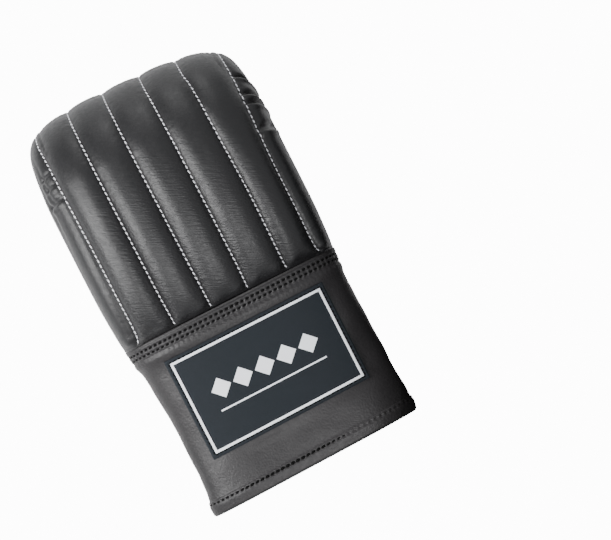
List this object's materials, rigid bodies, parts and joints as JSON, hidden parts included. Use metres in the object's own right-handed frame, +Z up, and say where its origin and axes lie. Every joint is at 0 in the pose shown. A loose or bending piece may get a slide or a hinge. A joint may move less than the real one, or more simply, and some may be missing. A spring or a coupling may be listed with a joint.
{
  "type": "bag glove",
  "caption": "Padded mitten for punch bags, for the left hand, with a channelled foam back, a rolled finger end, a sewn-on thumb and an elastic wrist.",
  "frame": {"origin": "middle of the footprint, on the surface that the glove lies on, palm down", "axes": "+Y from the wrist hem to the finger end, +X across the hand towards the thumb side, +Z up, out of the back of the hand"},
  "size_m": [0.138, 0.2496, 0.072],
  "materials": {
    "pad_leather": "smooth black artificial leather with a soft shine",
    "palm_leather": "soft black artificial leather, slightly creased",
    "cuff_leather": "black artificial leather with a fine pebble grain",
    "elastic_weave": "flat woven elastic, black with a red stripe along each edge",
    "label_weave": "woven patch, blue-black with a thin white border"
  },
  "bodies": {
    "root": {"padded_back": "pad_leather", "finger_roll": "pad_leather", "finger_gusset": "palm_leather", "palm_panel": "palm_leather", "wrist_flap": "palm_leather", "slit_gore": "palm_leather", "thumb_pouch": "palm_leather", "cuff_back": "cuff_leather", "wrist_elastic": "elastic_weave", "cuff_label": "label_weave"}
  },
  "joints": []
}
